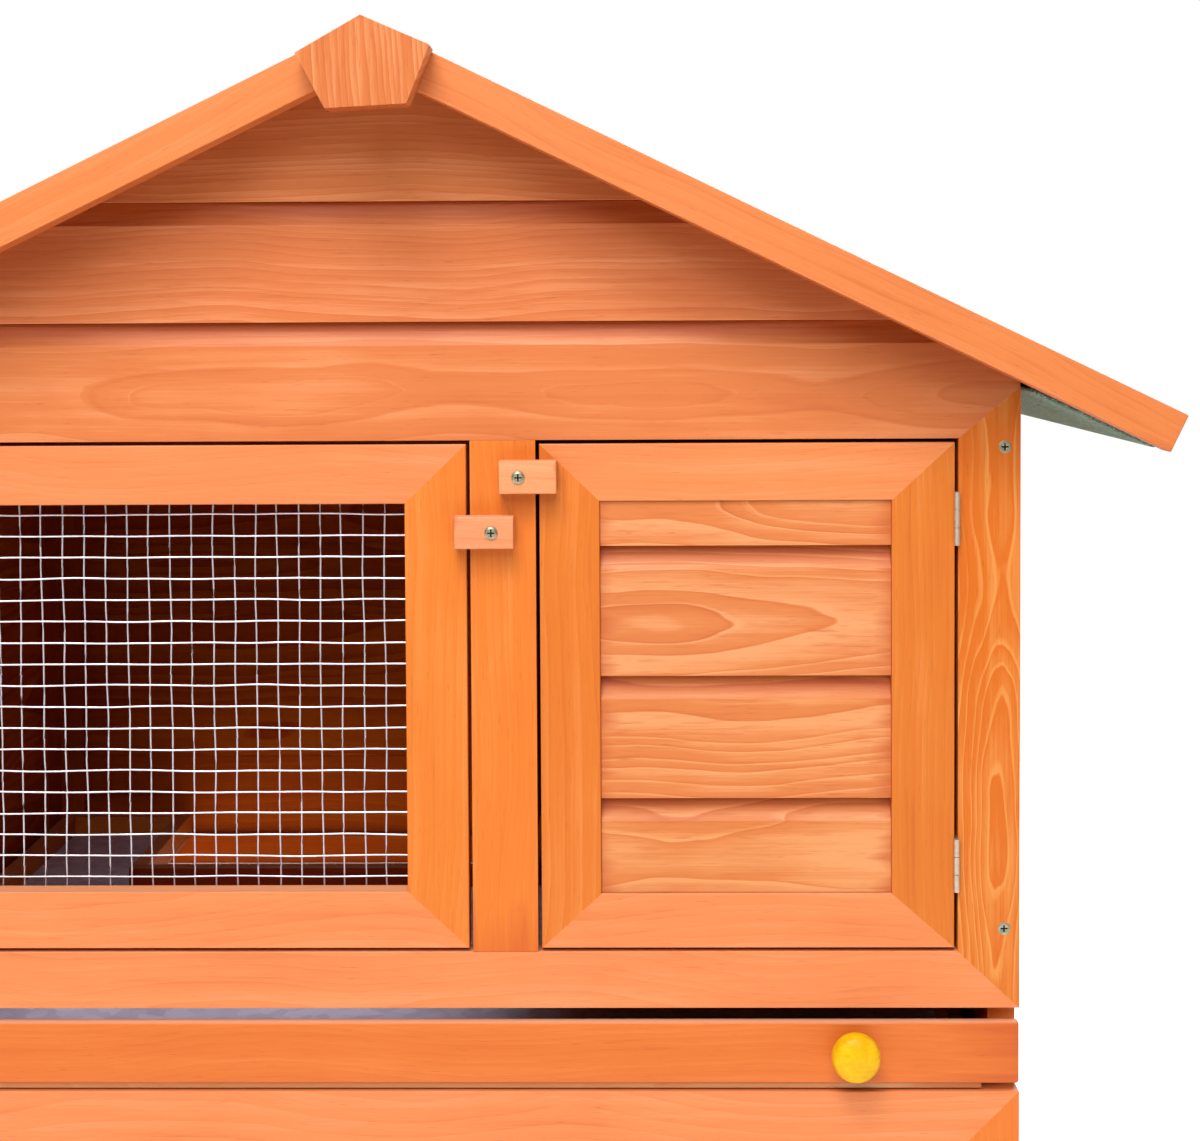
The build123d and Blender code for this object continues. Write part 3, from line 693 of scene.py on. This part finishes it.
def welded_mesh(node, pitch, wave):
    """Round wires in place of a flat CAD grid: upright ones behind, level ones welded in front of them."""
    low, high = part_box(node)
    thin = min(range(3), key=lambda i: high[i] - low[i])
    wide = 1 if thin == 0 else 0
    radius = (high[thin] - low[thin]) * WIRE_PART
    outward = -1 if low[thin] + high[thin] < 0 else 1
    middle = (high[thin] - LAYERS * radius) if outward > 0 else (low[thin] + LAYERS * radius)
    mesh = bmesh.new()
    columns = round((high[wide] - low[wide]) / pitch)
    rows = round((high.z - low.z) / pitch)

    def wire(fixed, start, end, lying, count, seed):
        shift = radius * WELD * outward * (1 if lying else -1)
        points = []
        for i in range(count + 1):
            t = start + (end - start) * i / count
            sway = noise.noise(Vector((t * WAVES, seed * 7.3, 0.5))) * wave
            bow = noise.noise(Vector((t * WAVES, seed * 7.3, 9.5))) * wave * 0.5
            spot = Vector()
            spot[thin] = middle + shift + max(-MOST_BOW, min(MOST_BOW, bow / radius)) * radius
            spot[wide] = t if lying else fixed + sway
            spot.z = fixed + sway if lying else t
            points.append(spot)
        tube(mesh, points, radius)

    inset = radius
    for i in range(columns + 1):
        wire(low[wide] + inset + i * pitch, low.z + inset, high.z - inset, False, rows * 2, i)
    for i in range(rows + 1):
        wire(low.z + inset + i * pitch, low[wide] + inset, high[wide] - inset, True, columns * 2, i + 200)
    made = publish(mesh, f"{node}_wires", WIRE, 60)
    stand_in(made, node)


FINE_PITCH = 12.7 * MM
RUN_PITCH = 25.4 * MM
welded_mesh("mesh_door_mesh", FINE_PITCH, 0.8 * MM)
for panel in ("lower_front_mesh", "left_side_mesh", "right_side_mesh", "back_mesh", "run_door_mesh"):
    welded_mesh(panel, RUN_PITCH, 0.4 * MM)


# ---- hardware ----------------------------------------------------------------------------------
def dress(node, material):
    """Gives a CAD node its finish."""
    shown = frame["nodes"][node]
    shown.data.materials.clear()
    shown.data.materials.append(material)


for door in ("mesh_door", "solid_door", "run_door"):
    dress(f"{door}_hinge_post_leaves", ZINC)
    dress(f"{door}_hinge_door_leaves", ZINC)
dress("hinge_pins", ZINC)
dress("tray_liner", SPANGLE)


# The recess of a screw's head: how far out it reaches, and the depths that are coloured darker.
RECESS_REACH = 2.2 * MM
RECESS_TOP = 0.2 * MM
RECESS_FLOOR = 1.2 * MM
SCREW_EDGE = 0.12 * MM


def screws(node):
    """The CAD screws with softened edges, and a darker colour in the recess of each head."""
    mesh = clean_mesh(node)
    heads = []
    for group in islands(mesh):
        face = min(v.co.y for v in group)
        middle = sum((v.co for v in group), Vector()) / len(group)
        heads.append((middle.x, face, middle.z))
    sharp = [e for e in mesh.edges if e.is_manifold and e.calc_face_angle(0) > SHARP]
    bmesh.ops.bevel(
        mesh, geom=sharp, offset=SCREW_EDGE, segments=2, profile=0.5, affect="EDGES", clamp_overlap=True
    )
    mesh.normal_update()
    for face in mesh.faces:
        spot = face.calc_center_median()
        x, y, z = min(heads, key=lambda head: (spot.x - head[0]) ** 2 + (spot.z - head[2]) ** 2)
        within = math.hypot(spot.x - x, spot.z - z) < RECESS_REACH
        face.material_index = int(within and RECESS_TOP < spot.y - y < RECESS_FLOOR)
    made = publish(mesh, f"{node}_turned", SCREW, 40)
    made.data.materials.append(RECESS_DARK)
    stand_in(made, node)


screws("frame_screws")
screws("turn_button_screws")


def lathe(mesh, centre, profile, sides=48):
    """Turns (radius, y) points about the y axis through the centre."""
    rings = []
    for radius, y in profile:
        if radius < 1e-6:
            rings.append([mesh.verts.new(centre + Vector((0, y, 0)))])
            continue
        spots = [Vector((radius * math.cos(a), y, radius * math.sin(a))) for a in around(sides)]
        rings.append([mesh.verts.new(centre + spot) for spot in spots])
    for ring, following in zip(rings, rings[1:]):
        for i in range(sides):
            j = (i + 1) % sides
            places = ((ring, i), (ring, j), (following, j), (following, i))
            corners = list(dict.fromkeys(loop[k % len(loop)] for loop, k in places))
            if len(corners) > 2:
                mesh.faces.new(corners)
    bmesh.ops.recalc_face_normals(mesh, faces=mesh.faces)


def knobs():
    """Turned knobs. The profile is in parts of the radius and of the reach from the board."""
    low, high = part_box("tray_knobs")
    reach = high.y - low.y
    radius = (high.z - low.z) / 2
    mesh = bmesh.new()
    profile = [(0, 0), (0.46, 0), (0.44, -0.03), (0.39, -0.12), (0.40, -0.2), (0.5, -0.24), (0.78, -0.26)]
    profile += [(0.9, -0.29), (0.97, -0.36), (1.0, -0.48), (0.995, -0.62), (0.965, -0.74), (0.90, -0.83)]
    profile += [(0.80, -0.89), (0.6, -0.94), (0.3, -0.985), (0, -1.0)]
    for side in (low.x + radius, high.x - radius):
        centre = Vector((side, high.y, (low.z + high.z) / 2))
        lathe(mesh, centre, [(r * radius, y * reach) for r, y in profile])
    made = publish(mesh, "tray_knobs_turned", KNOB, 50)
    smooth = made.modifiers.new("Subdivision", "SUBSURF")
    smooth.levels = smooth.render_levels = 1
    stand_in(made, "tray_knobs")


knobs()


# ---- roofing felt ------------------------------------------------------------------------------
FELT_THICK = 2.0 * MM
TUCKED = 7 * MM  # how far the turned-in edge is pushed up at the wall
STRIP_TOP = 0.83  # the turned-in strip lies below this height
EAVE_INSET = 3 * MM  # the sheet starts to turn this far inside the eave
RUN_STEPS = 24  # down the slope
BACK_STEPS = 14  # from the hem to the wall
FELT_ROWS = 72  # from front to back


def felt(side):
    """One sheet from the ridge, over the eave and turned in under it to the wall, a little slack."""
    sign = -1 if side == "left" else 1
    node = f"roof_felt_{side}"
    low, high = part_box(node)
    data = frame["nodes"][node].data
    points = [Vector((abs(v.co.x), v.co.y, v.co.z)) for v in data.vertices]
    top = max(points, key=lambda p: p.z)
    tip = max(points, key=lambda p: p.x)
    inner = min((p for p in points if p.z < STRIP_TOP), key=lambda p: p.x)
    hem = min(points, key=lambda p: p.z)
    slope = (top.z - tip.z) / tip.x
    # The sheet's middle line, in (x, z): down the slope, round the eave, and back to the wall.
    reach = tip.x - EAVE_INSET
    start = top.z - FELT_THICK / 2 * 1.1
    run = [(t * reach, start - slope * t * reach) for t in (i / RUN_STEPS for i in range(RUN_STEPS + 1))]
    corner = Vector((tip.x - 1.2 * MM, tip.z - 1.5 * MM))
    lip_x, lip_z = hem.x - EAVE_INSET, hem.z + 2.0 * MM
    fold = [
        (corner.x, corner.y - 1.0 * MM),
        (corner.x - 1.6 * MM, corner.y - 6 * MM),
        (hem.x + 3.2 * MM, hem.z + 6 * MM),
        (hem.x + 0.5 * MM, hem.z + 2.2 * MM),
        (lip_x, lip_z),
    ]
    wall_z = inner.z + TUCKED + FELT_THICK * 0.6
    back_run = []
    for i in range(1, BACK_STEPS + 1):
        t = i / BACK_STEPS
        back_run.append((lip_x + (inner.x - lip_x) * t, lip_z + (wall_z - lip_z) * t))
    line = run + fold + back_run
    mesh = bmesh.new()
    rows = []
    for j in range(FELT_ROWS + 1):
        y = low.y + (high.y - low.y) * j / FELT_ROWS
        row = []
        for i, (x, z) in enumerate(line):
            lift = 0.0
            if i < len(run):
                lift = 0.25 * MM * noise.noise(Vector((x * 9, y * 9, 2.0 * sign)))
            elif i >= len(run) + len(fold):
                lift = 0.7 * MM * noise.noise(Vector((x * 30, y * 24, 5.0 * sign)))
            row.append(mesh.verts.new((sign * x, y, z + lift)))
        rows.append(row)
    for row, following in zip(rows, rows[1:]):
        for i in range(len(line) - 1):
            mesh.faces.new((row[i], row[i + 1], following[i + 1], following[i]))
    bmesh.ops.recalc_face_normals(mesh, faces=mesh.faces)
    made = publish(mesh, f"{node}_sheet", FELT, 60)
    body = made.modifiers.new("Thickness", "SOLIDIFY")
    body.thickness = FELT_THICK
    body.offset = 0
    stand_in(made, node)


felt("left")
felt("right")


# ---- studio ------------------------------------------------------------------------------------
def studio():
    """A plain pale floor, a white background, a faint warm glow and five soft lamps."""
    mesh = bmesh.new()
    bmesh.ops.create_circle(mesh, cap_ends=True, segments=96, radius=2.6)
    floor = publish(mesh, "studio_floor", plain_floor())
    floor.location.z = -0.0005

    world = bpy.data.worlds.new("studio")
    world.use_nodes = True
    bpy.context.scene.world = world
    nodes, links = world.node_tree.nodes, world.node_tree.links
    glow = nodes["Background"]
    glow.inputs[0].default_value = (1, 0.86, 0.76, 1)
    glow.inputs[1].default_value = 0.22
    backdrop = nodes.new("ShaderNodeBackground")
    backdrop.inputs[0].default_value = (1, 1, 1, 1)
    seen = nodes.new("ShaderNodeLightPath")
    mix = nodes.new("ShaderNodeMixShader")
    links.new(seen.outputs["Is Camera Ray"], mix.inputs[0])
    links.new(glow.outputs[0], mix.inputs[1])
    links.new(backdrop.outputs[0], mix.inputs[2])
    links.new(mix.outputs[0], nodes["World Output"].inputs[0])

    def softbox(name, place, target, width, height, watts):
        light = bpy.data.lights.new(name, "AREA")
        light.shape = "RECTANGLE"
        light.size = width
        light.size_y = height
        light.energy = watts
        made = bpy.data.objects.new(name, light)
        made.location = place
        made.rotation_euler = (Vector(target) - Vector(place)).to_track_quat("-Z", "Y").to_euler()
        bpy.context.scene.collection.objects.link(made)

    middle = (0, 0, 0.6)
    softbox("key", (-0.2, -2.7, 2.75), middle, 2.4, 2.2, 92)
    softbox("high", (-0.3, -1.6, 2.9), middle, 1.2, 0.8, 44)
    softbox("left", (-3.2, 0.5, 1.8), middle, 1.6, 1.6, 45)
    softbox("right", (3.2, 0.5, 1.8), middle, 1.6, 1.6, 45)
    softbox("back", (0.6, 3.4, 2.2), middle, 2.0, 1.8, 80)
    bpy.context.scene.view_settings.view_transform = "Standard"


CAMERA_SIDE = 0.1450
CAMERA_DISTANCE = 1.1948  # in front of the bottom rail
CAMERA_HEIGHT = 0.8595
CAMERA_LENS = 61.92
CAMERA_SHIFT = -0.1463  # looks down onto the doors and keeps the uprights upright
PITCH, YAW, ROLL = (math.radians(angle) for angle in (2.2, 0.8, 0.30))


def camera():
    """Close to the front, level with the eaves and a little right of the middle."""
    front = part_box("front_bottom_rail")[0].y
    data = bpy.data.cameras.new("camera")
    data.sensor_width = 36
    data.lens = CAMERA_LENS
    data.shift_y = CAMERA_SHIFT
    data.dof.use_dof = False
    made = bpy.data.objects.new("camera", data)
    made.location = (CAMERA_SIDE, front - CAMERA_DISTANCE, CAMERA_HEIGHT)
    turn = Matrix.Rotation(YAW, 3, "Z") @ Matrix.Rotation(math.radians(90) - PITCH, 3, "X")
    made.rotation_euler = (turn @ Matrix.Rotation(-ROLL, 3, "Z")).to_euler()
    bpy.context.scene.collection.objects.link(made)
    bpy.context.scene.camera = made


studio()
camera()
